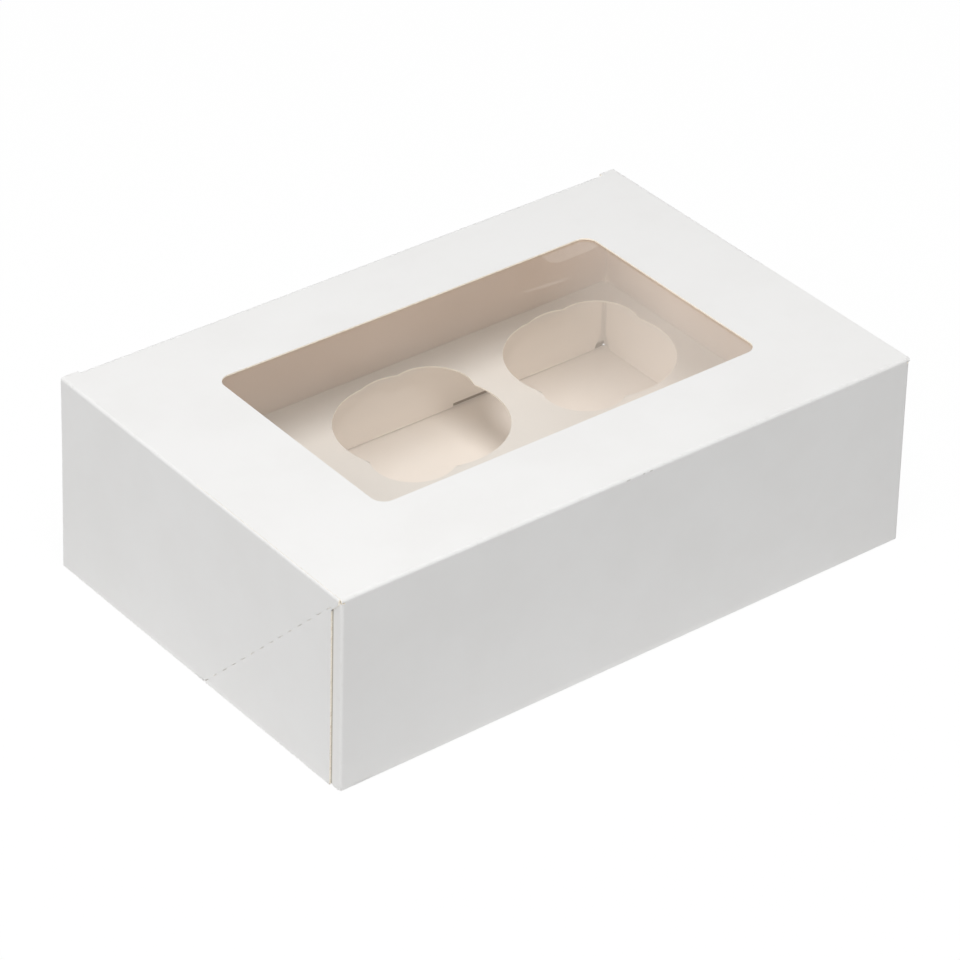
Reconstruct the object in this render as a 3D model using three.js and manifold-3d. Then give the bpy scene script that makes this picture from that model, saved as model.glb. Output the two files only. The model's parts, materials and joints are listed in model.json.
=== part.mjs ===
// Cupcake box of white folding board, closed: a tray, a hinged lid with a clear window,
// and a loose insert with six holes. Millimetres, +Z up, origin under the middle of the box.
import * as THREE from "three";
import { mergeVertices } from "three/addons/utils/BufferGeometryUtils.js";
import Module from "manifold-3d";

// The closed box, over its lid
const boxLength = 240;
const boxDepth = 160;
const boxHeight = 75;

// Board and its folds
const board = 0.6;
const foldRadius = 1.2;
const hingeRadius = 2;
const glueBite = 0.05; // how far a glued flap sinks into its wall, so that both are one solid
const arcSteps = 5;

// Gaps between the loose pieces
const lidGap = 0.5; // lid's side panels to tray walls
const seatGap = 0.3; // lid to the tray edges that it rests on, and insert to floor
const hingeGap = 0.3;
const insertGap = 0.4; // insert to tray walls
const floorGap = 0.5; // lid's lower edges to the table

// Lid
const windowLength = 160;
const windowDepth = 93;
const windowCorner = 5;
const windowShiftX = 2.5; // window lies a little to the right of the middle and behind it
const windowShiftY = 2.2;
const earLength = 7; // uncreased end of the hinge at each back corner
const lidFlapLength = 48;
const endSetback = 5; // end panel's cut edge behind the front corner
const endRelief = 5; // height of the slanted cut at the top of that edge
const cornerSlit = 0.6;
const endTaper = 1.5; // end panel's back edge leans forward to its foot
const dashLength = 3;
const dashPitch = 7.35;
const dashWidth = 0.3;
const dashStart = 7.2; // first cut, measured along the slant from the top front corner

// Tray
const trayFlapLength = 70;
const flapTaper = 5;

// Window film
const film = 0.2;
const filmLap = 9; // film glued past the window's edge on each side
const filmCorner = 3;

// Insert for six cupcakes
const insertHeight = 29;
const holePitchX = 75.5;
const holePitchY = 80;
const holeColumns = 3;
const holeRows = 2;
const holeShiftX = 3.8; // the holes too lie a little to the right and behind
const holeShiftY = 1;
const wideLobeRadius = 29.5;
const leftLobeX = -1.9; // middles of a hole's two wide lobes, from the hole's own middle
const leftLobeY = 1.3;
const rightLobeX = 1.8;
const rightLobeY = -0.3;
const narrowLobeRadius = 15.5;
const narrowLobeOffset = 22; // along the diagonal to the back right and to the front left
const easingLobeRadius = 20; // eases the narrow lobe at the back into the wide one
const easingLobeX = 3.3;
const easingLobeY = 12.2;
const lobeSteps = 40;
const legCornerGap = 2;
const legChamfer = 6;
const notchLength = 16;
const notchHeight = 1.6;
const notchPlace = 12.2; // notch's middle to the right of the line between two holes

// Planes that the pieces share
const halfLength = boxLength / 2;
const halfDepth = boxDepth / 2;
const endInside = halfLength - board;
const lidFlapInside = endInside - board;
const trayHalfLength = lidFlapInside - lidGap;
const trayEndInside = trayHalfLength - board;
const trayFlapInside = trayEndInside - board;
const trayFront = -halfDepth + board + lidGap;
const trayBack = halfDepth;
const trayTop = boxHeight - board - seatGap;
const hingeLevel = boxHeight - hingeRadius;
const backWallTop = hingeLevel - hingeGap;
const insertFoot = board + seatGap;
const insertTop = insertFoot + insertHeight;
const insertHalfLength = trayFlapInside - insertGap;
const insertFront = trayFront + board + insertGap;
const insertBack = trayBack - board - insertGap;
const farAway = boxLength + boxDepth + boxHeight;

const wasm = await Module();
wasm.setup();

// Closed three.js geometry as a solid that can be joined and cut
function solidOf(geometry) {
  geometry.deleteAttribute("normal");
  geometry.deleteAttribute("uv");
  const merged = mergeVertices(geometry, 1e-5);
  return new wasm.Manifold(
    new wasm.Mesh({
      numProp: 3,
      vertProperties: merged.attributes.position.array,
      triVerts: new Uint32Array(merged.index.array),
    }),
  );
}

function meshOf(name, solid, material) {
  const { vertProperties, triVerts } = solid.getMesh();
  const geometry = new THREE.BufferGeometry();
  geometry.setAttribute("position", new THREE.BufferAttribute(new Float32Array(vertProperties), 3));
  geometry.setIndex(new THREE.BufferAttribute(new Uint32Array(triVerts), 1));
  geometry.computeVertexNormals();
  const mesh = new THREE.Mesh(geometry, material);
  mesh.name = name;
  return mesh;
}

function extrude(shape, depth, steps = arcSteps) {
  return new THREE.ExtrudeGeometry(shape, { depth, bevelEnabled: false, curveSegments: steps });
}

// Outline in x and z, from one y to a lower one
function alongY(shape, yFrom, yTo) {
  const geometry = extrude(shape, yFrom - yTo);
  geometry.rotateX(Math.PI / 2);
  geometry.translate(0, yFrom, 0);
  return solidOf(geometry);
}

// Outline in y and z, from one x to a higher one
function alongX(shape, xFrom, xTo) {
  const geometry = extrude(shape, xTo - xFrom);
  geometry.applyMatrix4(new THREE.Matrix4().set(0, 0, 1, xFrom, 1, 0, 0, 0, 0, 1, 0, 0, 0, 0, 0, 1));
  return solidOf(geometry);
}

// Outline in x and y, from one z to a higher one
function alongZ(shape, zFrom, zTo, steps) {
  const geometry = extrude(shape, zTo - zFrom, steps);
  geometry.translate(0, 0, zFrom);
  return solidOf(geometry);
}

function polygon(points) {
  return new THREE.Shape(points.map(([u, v]) => new THREE.Vector2(u, v)));
}

function rectangle(uFrom, vFrom, uTo, vTo) {
  return polygon([[uFrom, vFrom], [uTo, vFrom], [uTo, vTo], [uFrom, vTo]]);
}

// Section of a strip of board that turns left by a right angle at each inner point of the path.
// The path is the board's outer surface, and each fold has its own outer radius.
function foldedBoard(points, radii) {
  const path = points.map(([u, v]) => new THREE.Vector2(u, v));
  const legs = path.slice(1).map((end, i) => end.clone().sub(path[i]).normalize());
  const inward = legs.map((leg) => new THREE.Vector2(-leg.y, leg.x));
  const folds = radii.map((radius, i) => ({
    radius,
    middle: path[i + 1].clone().addScaledVector(inward[i], radius).addScaledVector(inward[i + 1], radius),
    from: inward[i].clone().negate().angle(),
    to: inward[i + 1].clone().negate().angle(),
  }));
  const lastEnd = path.at(-1);
  const lastInner = lastEnd.clone().addScaledVector(inward.at(-1), board);
  const firstInner = path[0].clone().addScaledVector(inward[0], board);
  const section = new THREE.Shape();
  section.moveTo(path[0].x, path[0].y);
  for (const { radius, middle, from, to } of folds) {
    section.absarc(middle.x, middle.y, radius, from, to, false);
  }
  section.lineTo(lastEnd.x, lastEnd.y);
  section.lineTo(lastInner.x, lastInner.y);
  for (const { radius, middle, from, to } of folds.toReversed()) {
    section.absarc(middle.x, middle.y, radius - board, to, from, true);
  }
  section.lineTo(firstInner.x, firstInner.y);
  return section;
}

function roundedRectangle(middleX, middleY, length, depth, corner) {
  const u = length / 2 - corner;
  const v = depth / 2 - corner;
  const outline = new THREE.Shape();
  outline.moveTo(middleX + u, middleY - v - corner);
  outline.absarc(middleX + u, middleY - v, corner, -Math.PI / 2, 0, false);
  outline.absarc(middleX + u, middleY + v, corner, 0, Math.PI / 2, false);
  outline.absarc(middleX - u, middleY + v, corner, Math.PI / 2, Math.PI, false);
  outline.absarc(middleX - u, middleY - v, corner, Math.PI, 1.5 * Math.PI, false);
  return outline;
}

// Lid: top, front and end panels, with the front panel's two flaps glued inside the ends
function makeLid() {
  const topAndFront = alongX(
    foldedBoard(
      [[halfDepth, hingeLevel], [halfDepth, boxHeight], [-halfDepth, boxHeight], [-halfDepth, floorGap]],
      [hingeRadius, foldRadius],
    ),
    -endInside,
    endInside,
  );
  // Below the top fold the front panel stops where its corner folds begin.
  const cornerFold = endInside - foldRadius;
  const belowTopFold = boxHeight - foldRadius;
  const frontOutline = alongY(
    polygon([
      [-cornerFold, 0], [cornerFold, 0], [cornerFold, belowTopFold], [endInside, belowTopFold],
      [endInside, farAway], [-endInside, farAway], [-endInside, belowTopFold], [-cornerFold, belowTopFold],
    ]),
    0,
    -farAway,
  );
  const hingeHalf = halfLength - earLength;
  const hingeOutline = alongY(rectangle(-hingeHalf, 0, hingeHalf, farAway), farAway, 0);
  const creased = topAndFront.intersect(frontOutline.add(hingeOutline));

  // Each end panel hangs from the top; its front edge is set back and slanted at the top.
  const topAndEnds = alongY(
    foldedBoard(
      [[halfLength, floorGap], [halfLength, boxHeight], [-halfLength, boxHeight], [-halfLength, floorGap]],
      [foldRadius, foldRadius],
    ),
    halfDepth,
    -halfDepth + foldRadius,
  );
  const panelTop = boxHeight - foldRadius;
  const endOutline = alongX(
    polygon([
      [-halfDepth + foldRadius, farAway], [-halfDepth + foldRadius, panelTop],
      [-halfDepth + cornerSlit, panelTop - cornerSlit],
      [-halfDepth + endSetback, panelTop - endRelief], [-halfDepth + endSetback, 0],
      [halfDepth - endTaper, 0], [halfDepth, panelTop], [halfDepth, farAway],
    ]),
    -farAway,
    farAway,
  );
  // Between the ears the top ends where the hinge's bend begins.
  const bend = alongY(rectangle(-hingeHalf, hingeLevel, hingeHalf, farAway), farAway, halfDepth - hingeRadius);
  const ends = topAndEnds.intersect(endOutline).subtract(bend);

  // Front panel again with its side flaps, which pass behind the end panels
  const flapOutside = endInside + glueBite;
  const flapEnd = -halfDepth + lidFlapLength;
  const frontAndFlaps = alongZ(
    foldedBoard(
      [[-flapOutside, flapEnd], [-flapOutside, -halfDepth], [flapOutside, -halfDepth], [flapOutside, flapEnd]],
      [foldRadius, foldRadius],
    ),
    floorGap,
    boxHeight - foldRadius,
  );
  const flapStart = -halfDepth + endSetback;
  const flapOutline = alongX(
    polygon([
      [-farAway, 0], [-halfDepth + foldRadius, 0], [flapStart, 2 * floorGap], [flapEnd, floorGap + flapTaper],
      [flapEnd, panelTop - flapTaper], [flapStart, panelTop - board], [-farAway, panelTop - board],
    ]),
    -farAway,
    farAway,
  );

  const window = alongZ(
    roundedRectangle(windowShiftX, windowShiftY, windowLength, windowDepth, windowCorner),
    boxHeight - 2 * board,
    boxHeight + board,
  );
  return creased
    .add(ends)
    .add(frontAndFlaps.intersect(flapOutline))
    .subtract(window)
    .subtract(endDashes());
}

// Row of short cuts in both end panels, slanting down and back from the top front corner
function endDashes() {
  const slantLength = boxHeight * Math.SQRT2;
  const dashes = [];
  for (let along = dashStart; along + dashLength < slantLength; along += dashPitch) {
    const reach = (along + dashLength / 2) / Math.SQRT2;
    for (const side of [-1, 1]) {
      const dash = new THREE.BoxGeometry(2 * board, dashLength, dashWidth);
      dash.rotateX(-Math.PI / 4);
      dash.translate(side * (halfLength + glueBite), -halfDepth + reach, boxHeight - reach);
      dashes.push(solidOf(dash));
    }
  }
  return dashes.reduce((all, dash) => all.add(dash));
}

// Tray: base and four walls, with the front and back walls' flaps glued inside the end walls
function makeTray() {
  const baseAndLong = alongX(
    foldedBoard(
      [[trayFront, trayTop], [trayFront, 0], [trayBack, 0], [trayBack, backWallTop]],
      [foldRadius, foldRadius],
    ),
    -trayEndInside + foldRadius,
    trayEndInside - foldRadius,
  );
  const baseAndEnds = alongY(
    foldedBoard(
      [[-trayHalfLength, trayTop], [-trayHalfLength, 0], [trayHalfLength, 0], [trayHalfLength, trayTop]],
      [foldRadius, foldRadius],
    ),
    trayBack - foldRadius,
    trayFront + foldRadius,
  );
  const flapOutside = trayEndInside + glueBite;
  const backFlapEnd = trayBack - board - trayFlapLength;
  const frontFlapEnd = trayFront + board + trayFlapLength;
  const flapFoot = foldRadius;
  const backAndFlaps = alongZ(
    foldedBoard(
      [[flapOutside, backFlapEnd], [flapOutside, trayBack], [-flapOutside, trayBack], [-flapOutside, backFlapEnd]],
      [foldRadius, foldRadius],
    ),
    flapFoot,
    backWallTop,
  );
  const frontAndFlaps = alongZ(
    foldedBoard(
      [[-flapOutside, frontFlapEnd], [-flapOutside, trayFront], [flapOutside, trayFront], [flapOutside, frontFlapEnd]],
      [foldRadius, foldRadius],
    ),
    flapFoot,
    trayTop,
  );
  // The flaps' ends lean in a little, above a straight root at each corner.
  const flapOutline = alongX(
    polygon([
      [-farAway, 0], [frontFlapEnd - flapTaper, 0], [frontFlapEnd, flapFoot + flapTaper],
      [frontFlapEnd, farAway], [backFlapEnd, farAway], [backFlapEnd, flapFoot + flapTaper],
      [backFlapEnd + flapTaper, 0], [farAway, 0], [farAway, 2 * farAway], [-farAway, 2 * farAway],
    ]),
    -farAway,
    farAway,
  );
  return baseAndLong.add(baseAndEnds).add(backAndFlaps.add(frontAndFlaps).intersect(flapOutline));
}

function makeFilm() {
  const length = windowLength + 2 * filmLap;
  const depth = windowDepth + 2 * filmLap;
  const underLid = boxHeight - board;
  return alongZ(
    roundedRectangle(windowShiftX, windowShiftY, length, depth, filmCorner),
    underLid - film,
    underLid,
  );
}

// Outline of one cupcake hole: two wide lobes, almost one circle, and a narrow one at each end of a diagonal
function lobe(middleX, middleY, radius) {
  const outline = new THREE.Shape();
  outline.absarc(middleX, middleY, radius, 0, 2 * Math.PI, false);
  return alongZ(outline, insertTop - 2 * board, insertTop + board, lobeSteps);
}

function holeAt(middleX, middleY) {
  const narrow = narrowLobeOffset / Math.SQRT2;
  return lobe(middleX + leftLobeX, middleY + leftLobeY, wideLobeRadius)
    .add(lobe(middleX + rightLobeX, middleY + rightLobeY, wideLobeRadius))
    .add(lobe(middleX + easingLobeX, middleY + easingLobeY, easingLobeRadius))
    .add(lobe(middleX + narrow, middleY + narrow, narrowLobeRadius))
    .add(lobe(middleX - narrow, middleY - narrow, narrowLobeRadius));
}

// Side view of a leg pair and the top between them, with chamfered feet
function legOutline(from, to) {
  const start = from + legCornerGap;
  const end = to - legCornerGap;
  return [
    [start, farAway], [start, insertFoot + legChamfer], [start + legChamfer / 2, insertFoot],
    [end - legChamfer / 2, insertFoot], [end, insertFoot + legChamfer], [end, farAway],
  ];
}

// Insert: a table with four legs that are folded down to the tray's floor
function makeInsert() {
  const frontAndBackLegs = alongX(
    foldedBoard(
      [[insertBack, insertFoot], [insertBack, insertTop], [insertFront, insertTop], [insertFront, insertFoot]],
      [foldRadius, foldRadius],
    ),
    -insertHalfLength,
    insertHalfLength,
  ).intersect(alongY(polygon(legOutline(-insertHalfLength, insertHalfLength)), farAway, -farAway));
  const endLegs = alongY(
    foldedBoard(
      [
        [insertHalfLength, insertFoot], [insertHalfLength, insertTop],
        [-insertHalfLength, insertTop], [-insertHalfLength, insertFoot],
      ],
      [foldRadius, foldRadius],
    ),
    insertBack,
    insertFront,
  ).intersect(alongX(polygon(legOutline(insertFront, insertBack)), -farAway, farAway));
  let insert = frontAndBackLegs.add(endLegs);

  const middleX = (column) => holeShiftX + (column - (holeColumns - 1) / 2) * holePitchX;
  const middleY = (row) => holeShiftY + (row - (holeRows - 1) / 2) * holePitchY;
  for (let column = 0; column < holeColumns; column++) {
    for (let row = 0; row < holeRows; row++) {
      insert = insert.subtract(holeAt(middleX(column), middleY(row)));
    }
  }
  // A low notch in the feet of the front and back legs, between each two columns of holes
  for (let column = 1; column < holeColumns; column++) {
    const between = (middleX(column - 1) + middleX(column)) / 2 + notchPlace;
    const notch = rectangle(
      between - notchLength / 2, insertFoot - board, between + notchLength / 2, insertFoot + notchHeight,
    );
    insert = insert.subtract(alongY(notch, farAway, -farAway));
  }
  return insert;
}

const paint = (color, roughness) => new THREE.MeshStandardMaterial({ color, roughness, metalness: 0 });
const outerBoard = paint(0xf3f2f0, 0.55);
const insideBoard = paint(0xe6ddd2, 0.8);
const insertBoard = paint(0xefe9e0, 0.75);
const clearFilm = new THREE.MeshStandardMaterial({
  color: 0xf4f6f6,
  roughness: 0.08,
  metalness: 0,
  transparent: true,
  opacity: 0.2,
});

const cupcakeBox = new THREE.Group();
cupcakeBox.add(
  meshOf("tray", makeTray(), insideBoard),
  meshOf("cupcake_insert", makeInsert(), insertBoard),
  meshOf("lid", makeLid(), outerBoard),
  meshOf("window_film", makeFilm(), clearFilm),
);

export default cupcakeBox;
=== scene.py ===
# Cupcake box of white folding board: lid, tray, insert and clear window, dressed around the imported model.
import json
import math

import bmesh
import bpy
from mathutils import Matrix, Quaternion, Vector, noise
from mathutils.bvhtree import BVHTree


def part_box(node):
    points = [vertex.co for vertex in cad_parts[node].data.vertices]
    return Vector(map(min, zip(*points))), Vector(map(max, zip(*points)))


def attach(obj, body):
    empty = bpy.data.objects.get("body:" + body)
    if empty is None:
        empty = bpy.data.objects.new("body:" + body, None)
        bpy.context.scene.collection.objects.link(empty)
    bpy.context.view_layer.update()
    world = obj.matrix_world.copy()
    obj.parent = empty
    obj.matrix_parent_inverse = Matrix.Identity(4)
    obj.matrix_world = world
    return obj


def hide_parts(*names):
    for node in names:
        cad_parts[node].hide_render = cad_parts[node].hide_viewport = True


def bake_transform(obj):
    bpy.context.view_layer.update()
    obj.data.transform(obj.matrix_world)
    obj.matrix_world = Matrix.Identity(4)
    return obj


mm = 0.001
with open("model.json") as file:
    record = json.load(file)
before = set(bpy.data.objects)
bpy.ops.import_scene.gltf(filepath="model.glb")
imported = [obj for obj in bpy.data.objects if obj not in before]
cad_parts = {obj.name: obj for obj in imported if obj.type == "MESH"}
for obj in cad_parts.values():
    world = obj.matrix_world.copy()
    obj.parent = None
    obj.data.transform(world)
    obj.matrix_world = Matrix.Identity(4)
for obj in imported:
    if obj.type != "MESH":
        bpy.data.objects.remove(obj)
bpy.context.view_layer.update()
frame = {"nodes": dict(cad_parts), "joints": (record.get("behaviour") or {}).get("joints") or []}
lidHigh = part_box("lid")[1]
trayLow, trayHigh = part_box("tray")
insertLow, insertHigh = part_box("cupcake_insert")
filmLow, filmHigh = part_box("window_film")
hinge = next(joint for joint in frame["joints"] if joint["name"] == "lid_hinge")
hingeAxis = Vector(hinge["pos_m"])
print("frame loaded:", sorted(frame["nodes"]))

cameraSettings = dict(
    position=(-0.73527, -0.94086, 0.8334),
    azimuth=-37.92,
    elevation=33.95,
    roll=0.844,
    lens=157.4,
)


def makeCamera(settings):
    data = bpy.data.cameras.new("photoCamera")
    data.sensor_width = 36
    data.lens = settings["lens"]
    data.clip_start = 0.05
    data.clip_end = 20
    camera = bpy.data.objects.new("photoCamera", data)
    bpy.context.scene.collection.objects.link(camera)
    azimuth = math.radians(settings["azimuth"])
    elevation = math.radians(settings["elevation"])
    forward = Vector((
        -math.sin(azimuth) * math.cos(elevation),
        math.cos(azimuth) * math.cos(elevation),
        -math.sin(elevation),
    ))
    turn = forward.to_track_quat("-Z", "Y") @ Quaternion((0, 0, 1), math.radians(settings["roll"]))
    camera.rotation_mode = "QUATERNION"
    camera.rotation_quaternion = turn
    camera.location = settings["position"]
    bpy.context.scene.camera = camera


makeCamera(cameraSettings)
bpy.context.scene.view_settings.view_transform = "Standard"
print("camera placed")


# Shader maths: a socket that adds, subtracts and multiplies like a number
class Flow:
    def __init__(self, shader, socket):
        self.shader = shader
        self.socket = socket

    def math(self, operation, *values):
        return self.shader.node("ShaderNodeMath", dict(operation=operation), *values)[0]

    def __add__(self, other):
        return self.math("ADD", self, other)

    __radd__ = __add__

    def __mul__(self, other):
        return self.math("MULTIPLY", self, other)

    __rmul__ = __mul__

    def __sub__(self, other):
        return self.math("SUBTRACT", self, other)

    def __rsub__(self, other):
        return self.math("SUBTRACT", other, self)

    def __truediv__(self, other):
        return self.math("DIVIDE", self, other)

    def __pow__(self, other):
        return self.math("POWER", self, other)

    def __abs__(self):
        return self.math("ABSOLUTE", self)

    def clamp(self):
        return self.math("MINIMUM", self.math("MAXIMUM", self, 0.0), 1.0)

    # 0 below low, 1 above high, smooth between
    def above(self, low, high):
        return self.shader.node(
            "ShaderNodeMapRange", dict(interpolation_type="SMOOTHSTEP", clamp=True), self, low, high, 0.0, 1.0
        )[0]


class Shader:
    def __init__(self, name):
        self.material = bpy.data.materials.new(name)
        self.material.use_nodes = True
        self.tree = self.material.node_tree
        self.tree.nodes.clear()
        self.output = self.tree.nodes.new("ShaderNodeOutputMaterial")

    def node(self, kind, settings, *values, **named):
        made = self.tree.nodes.new(kind)
        for key, value in settings.items():
            if key == "stops":
                self.setStops(made.color_ramp, value)
            else:
                setattr(made, key, value)
        for index, value in enumerate(values):
            self.feed(made.inputs[index], value)
        for key, value in named.items():
            self.feed(made.inputs[key.replace("_", " ")], value)
        return [Flow(self, socket) for socket in made.outputs]

    def setStops(self, ramp, stops):
        while len(ramp.elements) > len(stops):
            ramp.elements.remove(ramp.elements[-1])
        while len(ramp.elements) < len(stops):
            ramp.elements.new(0.5)
        for element, (place, colour) in zip(ramp.elements, stops):
            element.position = place
            element.color = (*colour, 1)

    def feed(self, socket, value):
        if value is None:
            return
        if isinstance(value, Flow):
            self.tree.links.new(value.socket, socket)
        elif isinstance(value, tuple) and len(value) == 3 and socket.type == "RGBA":
            socket.default_value = (*value, 1)
        else:
            socket.default_value = value

    def mixColour(self, factor, first, second, blend="MIX"):
        made = self.tree.nodes.new("ShaderNodeMix")
        made.data_type = "RGBA"
        made.blend_type = blend
        self.feed(made.inputs[0], factor)
        self.feed(made.inputs[6], first)
        self.feed(made.inputs[7], second)
        return Flow(self, made.outputs[2])

    def stretched(self, x, y, z):
        place = self.node("ShaderNodeTexCoord", {})[3]
        return self.node("ShaderNodeMapping", {}, Vector=place, Scale=(x, y, z))[0]

    def noise(self, place, scale, detail=2.0, roughness=0.5):
        return self.node(
            "ShaderNodeTexNoise", {}, Vector=place, Scale=scale, Detail=detail, Roughness=roughness
        )[0]

    def attribute(self, name):
        return self.node("ShaderNodeAttribute", dict(attribute_name=name))[2]

    def bump(self, height, distance, strength=1.0, under=None):
        return self.node(
            "ShaderNodeBump", {}, Strength=strength, Distance=distance, Height=height, Normal=under
        )[0]

    def finish(self, surface):
        self.tree.links.new(surface.socket, self.output.inputs["Surface"])
        return self.material


# Coated face of the board: bright, faintly mottled, with cracked coating along the folds and painted shade
# along the lid's flap seam
coatedFinish = dict(
    colour=(0.915, 0.91, 0.9),
    cloud=(0.895, 0.888, 0.876),
    crackColour=(0.84, 0.825, 0.8),
    seamShadeColour=(0.3, 0.26, 0.2),
    roughness=0.46,
    cloudScale=26,
    fibreScale=1500,
    fibreDepth=0.02 * mm,
    crackScale=620,
    crackDepth=0.12 * mm,
    crackShare=0.55,
    seamShare=0.8,
    markShare=0.6,
    markColour=(0.5, 0.47, 0.43),
    marks=(  # middle and half size of each nick at a corner or a fold, in metres
        ((0.1202, -0.0802, 0.0749), (0.0006, 0.0006, 0.0007)),
        ((-0.1192, 0.0795, 0.0745), (0.0007, 0.0007, 0.0006)),
        ((0.003, -0.0801, 0.0741), (0.0007, 0.0007, 0.0003)),
        ((0.006, -0.0801, 0.0741), (0.001, 0.0007, 0.0003)),
        ((-0.0035, -0.0801, 0.0741), (0.0013, 0.0007, 0.0003)),
    ),
)


def coatedBoard(name, finish):
    shader = Shader(name)
    place = shader.stretched(1, 1, 1)
    clouds = shader.noise(place, finish["cloudScale"], 4, 0.6)
    fibres = shader.noise(shader.stretched(1, 0.35, 0.6), finish["fibreScale"], 3, 0.6)
    grain = shader.noise(place, finish["fibreScale"] * 0.28, 3, 0.55)
    wear = shader.attribute("foldWear")
    cracks = shader.noise(shader.stretched(1, 1, 1), finish["crackScale"], 4, 0.65).above(0.55, 0.68) * wear
    colour = shader.mixColour(clouds.above(0.35, 0.7), finish["colour"], finish["cloud"])
    colour = shader.mixColour(cracks * finish["crackShare"], colour, finish["crackColour"])
    # Painted shade: a dark line where the lid's front flap strip meets its end panel
    seam = shader.attribute("seamShade") * finish["seamShare"]
    colour = shader.mixColour(seam, colour, finish["seamShadeColour"])
    marks = 0.0
    for centre, radii in finish["marks"]:
        offset = shader.node("ShaderNodeVectorMath", dict(operation="SUBTRACT"), place, centre)[0]
        offset = shader.node("ShaderNodeVectorMath", dict(operation="DIVIDE"), offset, radii)[0]
        apart = shader.node("ShaderNodeVectorMath", dict(operation="LENGTH"), offset)[1]
        marks = marks + (1 - apart.above(0.5, 1.0))
    colour = shader.mixColour(marks.clamp() * finish["markShare"], colour, finish["markColour"])
    roughness = (finish["roughness"] - 0.04) + grain * 0.08 + cracks * 0.15
    normal = shader.bump(fibres * 0.5 + grain * 0.5, finish["fibreDepth"])
    normal = shader.bump(1 - cracks, finish["crackDepth"], 0.6, normal)
    return shader.finish(shader.node(
        "ShaderNodeBsdfPrincipled", {},
        Base_Color=colour, Roughness=roughness, Normal=normal, Specular_IOR_Level=0.4,
    )[0])


# Uncoated face: warm, dull, with stray fibres; a painted glow lightens it, painted light tints it above a given
# height, and painted shade darkens marked gaps
uncoatedFinish = dict(
    colour=(0.86, 0.805, 0.745),
    cloud=(0.845, 0.785, 0.72),
    fibreColour=(0.8, 0.735, 0.665),
    paintedGlow=0.07,
    paintedLightTint=(1.0, 0.925, 0.88),
    paintedLightSpan=(0.012, 0.045),
    gapShadeColour=(0.3, 0.24, 0.18),
    roughness=0.82,
    cloudScale=40,
    fibreScale=900,
    fibreDepth=0.05 * mm,
)


def uncoatedBoard(name, finish):
    shader = Shader(name)
    place = shader.stretched(1, 1, 1)
    clouds = shader.noise(place, finish["cloudScale"], 5, 0.65)
    alongGrain = shader.noise(shader.stretched(0.16, 1, 1), finish["fibreScale"], 3, 0.7)
    acrossGrain = shader.noise(shader.stretched(1, 0.2, 1), finish["fibreScale"] * 0.7, 3, 0.7)
    stray = (alongGrain * 0.6 + acrossGrain * 0.4).above(0.58, 0.66)
    colour = shader.mixColour(clouds.above(0.3, 0.72), finish["colour"], finish["cloud"])
    colour = shader.mixColour(stray * 0.35, colour, finish["fibreColour"])
    # Painted light: above a given height the colour is multiplied by a tint, warmer on the tray's walls than on
    # its floor
    height = shader.node("ShaderNodeSeparateXYZ", {}, place)[2]
    paintedLightColour = shader.mixColour(1.0, colour, finish["paintedLightTint"], "MULTIPLY")
    # Painted shade: dark in the slot behind the insert's leg feet and along the lid's flap seam
    paintedGapShade = shader.attribute("seamShade") * 0.9
    colour = shader.mixColour(height.above(*finish["paintedLightSpan"]), colour, paintedLightColour)
    colour = shader.mixColour(paintedGapShade, colour, finish["gapShadeColour"])
    roughness = finish["roughness"] - 0.05 + clouds * 0.1
    normal = shader.bump(alongGrain * 0.6 + acrossGrain * 0.4, finish["fibreDepth"])
    # The emission is a painted glow that lightens the board; it is no lamp
    return shader.finish(shader.node(
        "ShaderNodeBsdfPrincipled", {},
        Base_Color=colour, Roughness=roughness, Normal=normal, Specular_IOR_Level=0.3,
        Emission_Color=colour, Emission_Strength=finish["paintedGlow"],
    )[0])


# Cut edge: cream plies pressed together, slightly torn, lightened by a painted glow
edgeFinish = dict(
    colour=(0.86, 0.81, 0.72),
    plyColour=(0.72, 0.66, 0.56),
    roughness=0.9,
    paintedGlow=0.24,
    tearScale=900,
    plyScale=2600,
    plyDepth=0.08 * mm,
)


def cutEdge(finish, name="cutEdge"):
    shader = Shader(name)
    plies = shader.noise(shader.stretched(0.25, 0.25, 1), finish["plyScale"], 3, 0.7)
    tears = shader.noise(shader.stretched(1, 1, 1), finish["tearScale"], 3, 0.6)
    layers = (plies * 0.6 + tears * 0.4).above(0.4, 0.66)
    colour = shader.mixColour(layers, finish["colour"], finish["plyColour"])
    normal = shader.bump(plies * 0.5 + tears * 0.5, finish["plyDepth"])
    return shader.finish(shader.node(
        "ShaderNodeBsdfPrincipled", {},
        Base_Color=colour, Roughness=finish["roughness"], Normal=normal, Specular_IOR_Level=0.25,
        Emission_Color=colour, Emission_Strength=finish["paintedGlow"],
    )[0])


# Clear film: its gloss and a faint haze show, with painted reflections: a warm sheen towards the back right, a
# patch and a streak
filmFinish = dict(
    haze=0.015,
    mirror=0.02,
    roughness=0.05,
    colour=(0.93, 0.84, 0.76),
    paintedReflection=0.17,
    paintedReflectionSpan=(0.015, 0.075),
    reflectionPatch=(0.072, 0.046),
    patchSize=(0.011, 0.005),
    patchShine=0.07,
    reflectionStreak=0.037,
    streakWidth=1.2 * mm,
    streakShine=0.06,
    smearScale=30,
    waveScale=22,
    waveDepth=0.35 * mm,
)


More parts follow.
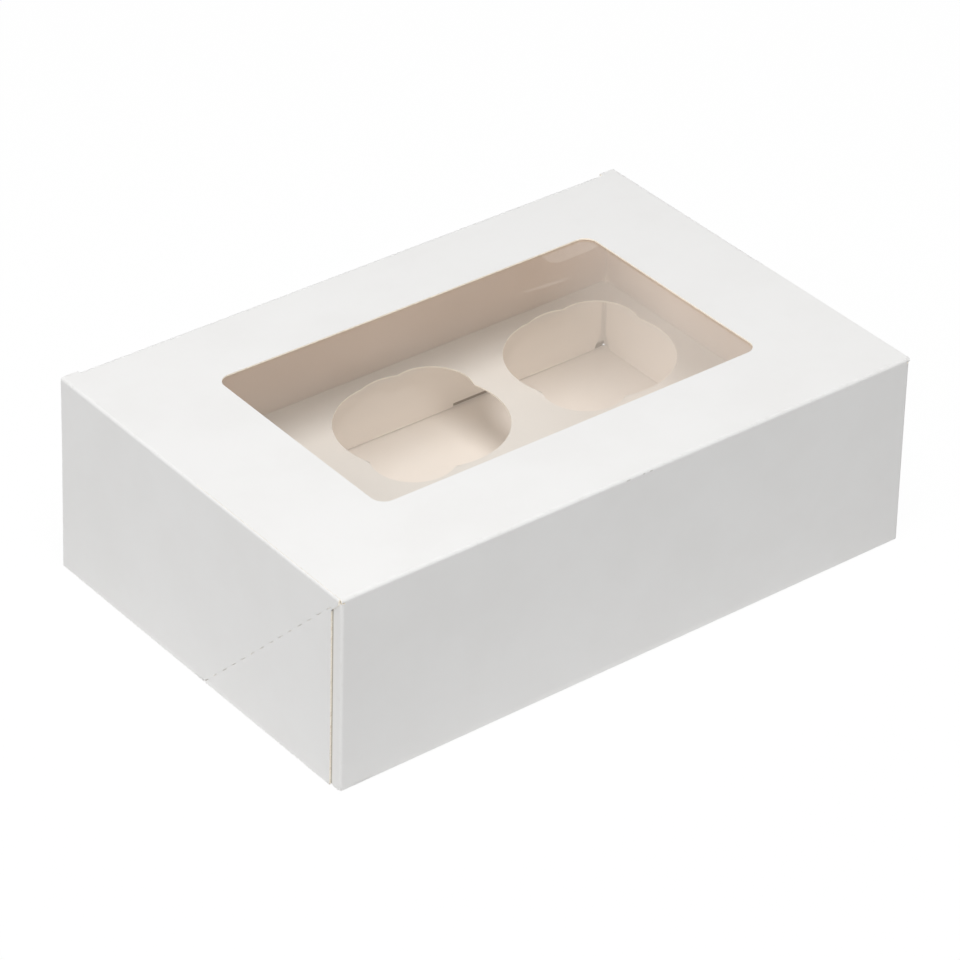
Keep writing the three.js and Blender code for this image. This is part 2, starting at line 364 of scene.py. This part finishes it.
def clearFilm(finish):
    shader = Shader("clearFilm")
    place = shader.stretched(1, 1, 1)
    facing = shader.node("ShaderNodeLayerWeight", {}, Blend=0.5)[1]
    gloss = finish["mirror"] + (facing ** 5.0) * (1 - finish["mirror"])
    smears = shader.noise(place, finish["smearScale"], 4, 0.6).above(0.45, 0.8)
    roughness = finish["roughness"] + smears * 0.05
    normal = shader.bump(shader.noise(place, finish["waveScale"], 2, 0.5), finish["waveDepth"], 0.5)
    clear = shader.node("ShaderNodeBsdfTransparent", {}, Color=(1.0, 1.0, 1.0))[0]
    shine = shader.node(
        "ShaderNodeBsdfPrincipled", {},
        Base_Color=finish["colour"], Metallic=1.0, Roughness=roughness, Normal=normal,
    )[0]
    x, y, z = shader.node("ShaderNodeSeparateXYZ", {}, place)
    # Painted reflection: a warm sheen laid over the film towards the back right, then a painted reflection
    # patch and streak
    paintedReflection = (x - y * 0.8).above(*finish["paintedReflectionSpan"]) * finish["paintedReflection"]
    patchX = abs(x - finish["reflectionPatch"][0]) / finish["patchSize"][0]
    patchY = abs(y - finish["reflectionPatch"][1]) / finish["patchSize"][1]
    reflectionPatch = 1 - (patchX ** 4.0 + patchY ** 4.0).above(0.85, 1.15)
    reflectionStreak = 1 - (abs(y + x * 0.1 - finish["reflectionStreak"]) / finish["streakWidth"]).above(0.3, 1.0)
    reflectionStreak = reflectionStreak * x.above(0.035, 0.05) * (1 - x.above(0.055, 0.062))
    paintedReflections = reflectionPatch * finish["patchShine"] + reflectionStreak * finish["streakShine"]
    factor = (gloss + smears * finish["haze"] + paintedReflection + paintedReflections).clamp()
    return shader.finish(shader.node("ShaderNodeMixShader", {}, factor, clear, shine)[0])


coated = coatedBoard("coatedBoard", coatedFinish)
# The tray's outside gets no painted seam shade: its seam shade colour is its own colour
trayFinish = dict(coatedFinish, seamShadeColour=coatedFinish["colour"])
trayCoated = coatedBoard("trayCoatedBoard", trayFinish)
uncoated = uncoatedBoard("uncoatedBoard", uncoatedFinish)
lidFinish = dict(
    uncoatedFinish,
    colour=(0.9, 0.865, 0.82),
    cloud=(0.885, 0.845, 0.795),
    fibreColour=(0.8, 0.735, 0.665),
    paintedLightTint=(1.0, 1.0, 1.0),
)
lidInside = uncoatedBoard("lidInsideBoard", lidFinish)
# The insert's top is painted darker and cooler than its legs as painted shade, and the insert has a stronger
# painted glow
insertFinish = dict(
    uncoatedFinish,
    colour=(0.91, 0.84, 0.765),
    cloud=(0.89, 0.82, 0.745),
    fibreColour=(0.85, 0.77, 0.7),
    paintedLightTint=(0.82, 0.85, 0.87),
    paintedLightSpan=(0.02, 0.0292),
    paintedGlow=0.1,
)
insertFace = uncoatedBoard("insertBoard", insertFinish)
edge = cutEdge(edgeFinish)
# The perforation's cut walls are painted lighter and given a stronger painted glow, so their shadowed slits
# read faint
dashFinish = dict(edgeFinish, colour=(0.88, 0.855, 0.82), plyColour=(0.8, 0.775, 0.735), paintedGlow=0.22)
dashEdge = cutEdge(dashFinish, "dashEdge")
film = clearFilm(filmFinish)
print("materials made")


# Board pieces: each starts as its solid, is sliced into small faces, and is then bent a little as real board is
boardThickness = 0.6 * mm
sheetSettings = dict(
    spacing=7 * mm,
    foldSteps=(1.2, 1.9, 3.2, 5.0),
    cutEdgeDepth=1.5 * mm,
    smoothAngle=40,
    seam=-75 * mm,
    seamCuts=[-75.35 * mm, -75.75 * mm],
    seamWidth=0.5 * mm,
    seamTop=5 * mm,
    underRim=(0.9 * mm, 2.6 * mm),
    wearReach=3.2 * mm,
    thickestWall=20 * mm,
)
bowSettings = dict(
    topSag=0.7 * mm,
    wallBow=0.5 * mm,
    endBow=0.4 * mm,
    ripple=0.06 * mm,
    rippleScale=0.045,
    leftLean=1.3 * mm,
)
halfLength = lidHigh.x
halfDepth = lidHigh.y
boxHeight = lidHigh.z


# Where a point of the board lies once the panels have bowed: the same for lid, tray and insert
def bowed(point):
    u = max(-1.0, min(1.0, point.x / halfLength))
    v = max(-1.0, min(1.0, point.y / halfDepth))
    w = max(0.0, min(1.0, point.z / boxHeight))
    middleX = 1 - u * u
    middleY = 1 - v * v
    rise = math.sin(math.pi * min(1.0, 0.15 + 0.85 * w)) if w > 0.01 else 0.0
    ripple = noise.noise(point / bowSettings["rippleScale"]) * bowSettings["ripple"] * w
    lean = max(0.0, -u) ** 3 * bowSettings["leftLean"] * w
    return Vector((
        point.x - u ** 3 * bowSettings["endBow"] * middleY * rise + lean,
        point.y - v ** 3 * bowSettings["wallBow"] * middleX * rise,
        point.z - (bowSettings["topSag"] * middleX * middleY + abs(ripple)) * w ** 4,
    ))


# The lid's end panels also stand a little away from the tray at their feet, more so behind
flareSettings = dict(leftBack=2.4 * mm, leftFront=0.1 * mm, rightBack=1.6 * mm, rightFront=0.9 * mm)


def splayed(point):
    place = bowed(point)
    side = "left" if point.x < 0 else "right"
    back = (point.y + halfDepth) / (2 * halfDepth)
    reach = flareSettings[side + "Back"] * back + flareSettings[side + "Front"] * (1 - back)
    drop = max(0.0, 1 - point.z / (boxHeight - 2 * mm))
    nearEnd = max(0.0, (abs(point.x) / halfLength - 0.9) / 0.1)
    place.x += math.copysign(reach * drop ** 1.15 * nearEnd, point.x)
    return place


def slicePlanes(low, high, spacing, foldSteps):
    count = max(1, round((high - low) / spacing))
    places = {low + (high - low) * i / count for i in range(1, count)}
    for step in foldSteps:
        places.add(low + step * mm)
        places.add(high - step * mm)
    return sorted(place for place in places if low < place < high)


# A copy of a solid's mesh, cut by planes along each axis so that it can bend
def sliced(node, settings):
    mesh = bmesh.new()
    mesh.from_mesh(frame["nodes"][node].data)
    bmesh.ops.remove_doubles(mesh, verts=mesh.verts, dist=0.001 * mm)
    bmesh.ops.dissolve_limit(
        mesh, angle_limit=math.radians(0.5), verts=mesh.verts, edges=mesh.edges, use_dissolve_boundaries=False
    )
    bmesh.ops.triangulate(mesh, faces=mesh.faces, ngon_method="BEAUTY")
    low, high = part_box(node)
    for axis in range(3):
        normal = Vector([1 if i == axis else 0 for i in range(3)])
        extra = settings["seamCuts"] if node == "lid" and axis == 1 else []
        for place in slicePlanes(low[axis], high[axis], settings["spacing"], settings["foldSteps"]) + extra:
            bmesh.ops.bisect_plane(
                mesh,
                geom=mesh.verts[:] + mesh.edges[:] + mesh.faces[:],
                dist=0.001 * mm,
                plane_co=normal * place,
                plane_no=normal,
            )
    bmesh.ops.dissolve_degenerate(mesh, dist=0.0005 * mm, edges=mesh.edges)
    mesh.normal_update()
    return mesh


# Whether a face looks away from the box's middle
def isOutside(centre, normal):
    return normal.dot(Vector((centre.x / halfLength, centre.y / halfDepth, centre.z / boxHeight * 2 - 1))) > 0


# 1 on a fold line, 0 beyond reach. A fold is (axis it runs along, the point's other two coordinates)
def foldNearness(point, folds, reach):
    nearest = reach
    for axis, first, second in folds:
        others = [point[i] for i in range(3) if i != axis]
        nearest = min(nearest, math.hypot(others[0] - first, others[1] - second))
    return 1 - nearest / reach


def boardPiece(name, node, body, faces, folds, bend=bowed, settings=sheetSettings):
    outsideMaterial, insideMaterial = faces
    mesh = sliced(node, settings)
    solid = BVHTree.FromBMesh(mesh)
    wear = mesh.verts.layers.float.new("foldWear")
    shade = mesh.verts.layers.float.new("seamShade")
    for face in mesh.faces:
        centre = face.calc_center_median()
        normal = face.normal
        start = centre - normal * 0.01 * mm
        hit = solid.ray_cast(start, -normal, settings["thickestWall"])
        depth = hit[3] if hit[0] is not None else settings["thickestWall"]
        if depth > settings["cutEdgeDepth"]:
            # Cut faces beside the perforation take the dash edge, painted lighter with a painted glow
            inEndPanel = node == "lid" and abs(centre.x) > halfLength - 1 * mm
            besideDashes = centre.y > settings["seam"] + 1 * mm and 2 * mm < centre.z < boxHeight - 1 * mm
            face.material_index = 3 if inEndPanel and besideDashes else 2
        else:
            face.material_index = 0 if isOutside(centre, normal) else 1
        face.smooth = True
    for vert in mesh.verts:
        vert[wear] = max(0.0, foldNearness(vert.co, folds, settings["wearReach"])) ** 1.5
        # Painted shade: marks the gap line beside the lid's front flap and the foot of the tray's back wall
        # behind the insert's legs
        besideSeam = settings["seam"] - vert.co.y
        inSeam = 0 <= besideSeam < settings["seamWidth"] and vert.co.z < boxHeight - settings["seamTop"]
        if node == "lid" and inSeam and abs(vert.co.x) < halfLength - 0.55 * mm:
            vert[shade] = 1.0
        rimDepth, rimHeight = settings["underRim"]
        if node == "tray" and vert.co.y > halfDepth - rimDepth and vert.co.z < rimHeight:
            vert[shade] = 1.0
        vert.co = bend(vert.co)
    data = bpy.data.meshes.new(name)
    mesh.to_mesh(data)
    mesh.free()
    data.set_sharp_from_angle(angle=math.radians(settings["smoothAngle"]))
    for material in (outsideMaterial, insideMaterial, edge, dashEdge):
        data.materials.append(material)
    piece = bpy.data.objects.new(name, data)
    bpy.context.scene.collection.objects.link(piece)
    evenNormals = piece.modifiers.new("evenNormals", "WEIGHTED_NORMAL")
    evenNormals.weight = 100
    evenNormals.keep_sharp = True
    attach(piece, body)
    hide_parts(node)
    print(name, "has", len(data.polygons), "faces")
    return piece


lidFolds = [
    (1, -halfLength, boxHeight),
    (1, halfLength, boxHeight),
    (0, -halfDepth, boxHeight),
    (0, halfDepth, boxHeight),
    (2, -halfLength, -halfDepth),
    (2, halfLength, -halfDepth),
]
trayFolds = [
    (1, trayLow.x, 0.0),
    (1, trayHigh.x, 0.0),
    (0, trayLow.y, 0.0),
    (0, trayHigh.y, 0.0),
    (2, trayLow.x, trayHigh.y),
    (2, trayHigh.x, trayHigh.y),
]
insertFolds = [
    (1, insertLow.x, insertHigh.z),
    (1, insertHigh.x, insertHigh.z),
    (0, insertLow.y, insertHigh.z),
    (0, insertHigh.y, insertHigh.z),
]
boardPiece("lid_shell", "lid", "lid", (coated, lidInside), lidFolds, splayed)
boardPiece("tray_shell", "tray", "base", (trayCoated, uncoated), trayFolds)
boardPiece("insert_shell", "cupcake_insert", "base", (insertFace, insertFace), insertFolds)


# Window film: a thin taut sheet with the slow waves that glued film has
filmSettings = dict(columns=60, rows=38, wave=0.12 * mm, waveLength=0.035)


def makeFilm(settings):
    length = filmHigh.x - filmLow.x
    depth = filmHigh.y - filmLow.y
    middle = (filmLow + filmHigh) / 2
    mesh = bmesh.new()
    sides = []
    for z in (filmHigh.z, filmLow.z):
        grid = []
        for row in range(settings["rows"] + 1):
            line = []
            for column in range(settings["columns"] + 1):
                u = column / settings["columns"] * 2 - 1
                v = row / settings["rows"] * 2 - 1
                x = middle.x + u * length / 2
                y = middle.y + v * depth / 2
                inner = (1 - u ** 8) * (1 - v ** 8)
                place = bowed(Vector((x, y, z)))
                wave = noise.noise(Vector((x, y, 0.7)) / settings["waveLength"])
                place.z -= settings["wave"] * (1 + wave) * inner
                line.append(mesh.verts.new(place))
            grid.append(line)
        sides.append(grid)
    top, under = sides
    for row in range(settings["rows"]):
        for column in range(settings["columns"]):
            for grid, order in ((top, 1), (under, -1)):
                near, far = grid[row], grid[row + 1]
                corners = [near[column], near[column + 1], far[column + 1], far[column]]
                mesh.faces.new(corners[::order])
    rim = [(0, c) for c in range(settings["columns"])]
    rim += [(r, settings["columns"]) for r in range(settings["rows"])]
    rim += [(settings["rows"], c) for c in range(settings["columns"], 0, -1)]
    rim += [(r, 0) for r in range(settings["rows"], 0, -1)]
    for (r0, c0), (r1, c1) in zip(rim, rim[1:] + rim[:1]):
        mesh.faces.new([top[r1][c1], top[r0][c0], under[r0][c0], under[r1][c1]])
    for face in mesh.faces:
        face.smooth = True
    data = bpy.data.meshes.new("film_sheet")
    mesh.to_mesh(data)
    mesh.free()
    data.materials.append(film)
    piece = bpy.data.objects.new("film_sheet", data)
    bpy.context.scene.collection.objects.link(piece)
    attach(piece, "lid")
    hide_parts("window_film")
    return piece


makeFilm(filmSettings)
print("film made")


# Hinge: the strip of board across the crease
creaseSettings = dict(
    ear=7.2 * mm,
    inset=0.03 * mm,
    below=0.25 * mm,
    above=0.25 * mm,
    columns=60,
    rows=6,
)


def makeCrease(settings):
    hingeHalf = halfLength - settings["ear"]
    outer = trayHigh.y - settings["inset"]
    inner = trayHigh.y - boardThickness + settings["inset"]
    bottom = hingeAxis.z - settings["below"]
    top = hingeAxis.z + settings["above"]
    mesh = bmesh.new()
    rings = []
    for column in range(settings["columns"] + 1):
        x = -hingeHalf + 2 * hingeHalf * column / settings["columns"]
        ring = []
        for row in range(settings["rows"] + 1):
            ring.append((x, outer, bottom + (top - bottom) * row / settings["rows"]))
        for row in range(settings["rows"], -1, -1):
            ring.append((x, inner, bottom + (top - bottom) * row / settings["rows"]))
        rings.append([mesh.verts.new(bowed(Vector(place))) for place in ring])
    for first, second in zip(rings, rings[1:]):
        for i in range(len(first)):
            j = (i + 1) % len(first)
            mesh.faces.new([first[i], first[j], second[j], second[i]])
    mesh.faces.new(rings[0][::-1])
    mesh.faces.new(rings[-1])
    bmesh.ops.recalc_face_normals(mesh, faces=mesh.faces)
    data = bpy.data.meshes.new("hinge_crease")
    mesh.to_mesh(data)
    mesh.free()
    data.materials.append(coated)
    piece = bpy.data.objects.new("hinge_crease", data)
    bpy.context.scene.collection.objects.link(piece)
    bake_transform(piece)
    return piece


makeCrease(creaseSettings)
print("hinge crease made")


# Studio: a white floor, a white surround and soft lamps
studioSettings = dict(
    floorSize=6,
    floorColour=(0.8, 0.8, 0.8),
    floorWhite=0.96,
    whiteGlow=1.012,
    floorDrop=0.2 * mm,
    ambient=0.235,
)


def makeFloor(settings):
    half = settings["floorSize"] / 2
    data = bpy.data.meshes.new("floor")
    corners = [(-half, -half, 0), (half, -half, 0), (half, half, 0), (-half, half, 0)]
    data.from_pydata(corners, [], [(0, 1, 2, 3)])
    shader = Shader("floorPaper")
    path = shader.node("ShaderNodeLightPath", {})
    seen = (path[0] + path[3] + path[6]).clamp()
    # No white shines up through the tray's corners or under its base
    x, y, z = shader.node("ShaderNodeSeparateXYZ", {}, shader.node("ShaderNodeTexCoord", {})[3])
    underTray = (1 - abs(x).above(0.1172, 0.1182)) * (1 - abs(y).above(0.0782, 0.079))
    underCorner = abs(x).above(0.111, 0.1125) * (1 - abs(x).above(0.1205, 0.1212))
    underCorner = underCorner * y.above(0.0735, 0.075) * (1 - y.above(0.08, 0.0807))
    openFloor = 1 - (underTray + underCorner).clamp()
    paper = shader.node("ShaderNodeBsdfDiffuse", {}, Color=settings["floorColour"])[0]
    white = shader.node("ShaderNodeEmission", {}, Color=(1.0, 1.0, 1.0), Strength=settings["whiteGlow"])[0]
    data.materials.append(shader.finish(
        shader.node("ShaderNodeMixShader", {}, seen * openFloor * settings["floorWhite"], paper, white)[0]
    ))
    floor = bpy.data.objects.new("floor", data)
    floor.location = (0, 0, -settings["floorDrop"])
    bpy.context.scene.collection.objects.link(floor)


def makeWorld(settings):
    world = bpy.data.worlds.new("studio")
    bpy.context.scene.world = world
    world.use_nodes = True
    nodes = world.node_tree.nodes
    links = world.node_tree.links
    nodes.clear()
    path = nodes.new("ShaderNodeLightPath")
    seen = nodes.new("ShaderNodeMath")
    seen.operation = "MAXIMUM"
    links.new(path.outputs["Is Camera Ray"], seen.inputs[0])
    links.new(path.outputs["Is Glossy Ray"], seen.inputs[1])
    also = nodes.new("ShaderNodeMath")
    also.operation = "MAXIMUM"
    links.new(seen.outputs[0], also.inputs[0])
    links.new(path.outputs["Is Transmission Ray"], also.inputs[1])
    light = nodes.new("ShaderNodeBackground")
    light.inputs["Strength"].default_value = settings["ambient"]
    white = nodes.new("ShaderNodeBackground")
    white.inputs["Color"].default_value = (1, 1, 1, 1)
    mix = nodes.new("ShaderNodeMixShader")
    light.inputs["Color"].default_value = (1, 1, 1, 1)
    links.new(also.outputs[0], mix.inputs[0])
    links.new(light.outputs[0], mix.inputs[1])
    links.new(white.outputs[0], mix.inputs[2])
    output = nodes.new("ShaderNodeOutputWorld")
    links.new(mix.outputs[0], output.inputs["Surface"])


def makeLamp(name, position, target, size, power):
    data = bpy.data.lights.new(name, "AREA")
    data.shape = "DISK"
    data.size = size
    data.energy = power
    lamp = bpy.data.objects.new(name, data)
    lamp.location = position
    lamp.rotation_mode = "QUATERNION"
    lamp.rotation_quaternion = (Vector(target) - Vector(position)).to_track_quat("-Z", "Y")
    bpy.context.scene.collection.objects.link(lamp)


makeFloor(studioSettings)
makeWorld(studioSettings)
lamps = dict(
    keyLamp=((-0.34, -0.47, 1.6), 0.85, 18.6),
    leftLamp=((-1.4, 0.0, 1.15), 0.7, 4.9),
)
for lampName, (place, size, power) in lamps.items():
    makeLamp(lampName, place, (0, 0, 0.04), size, power)
print("studio lit")
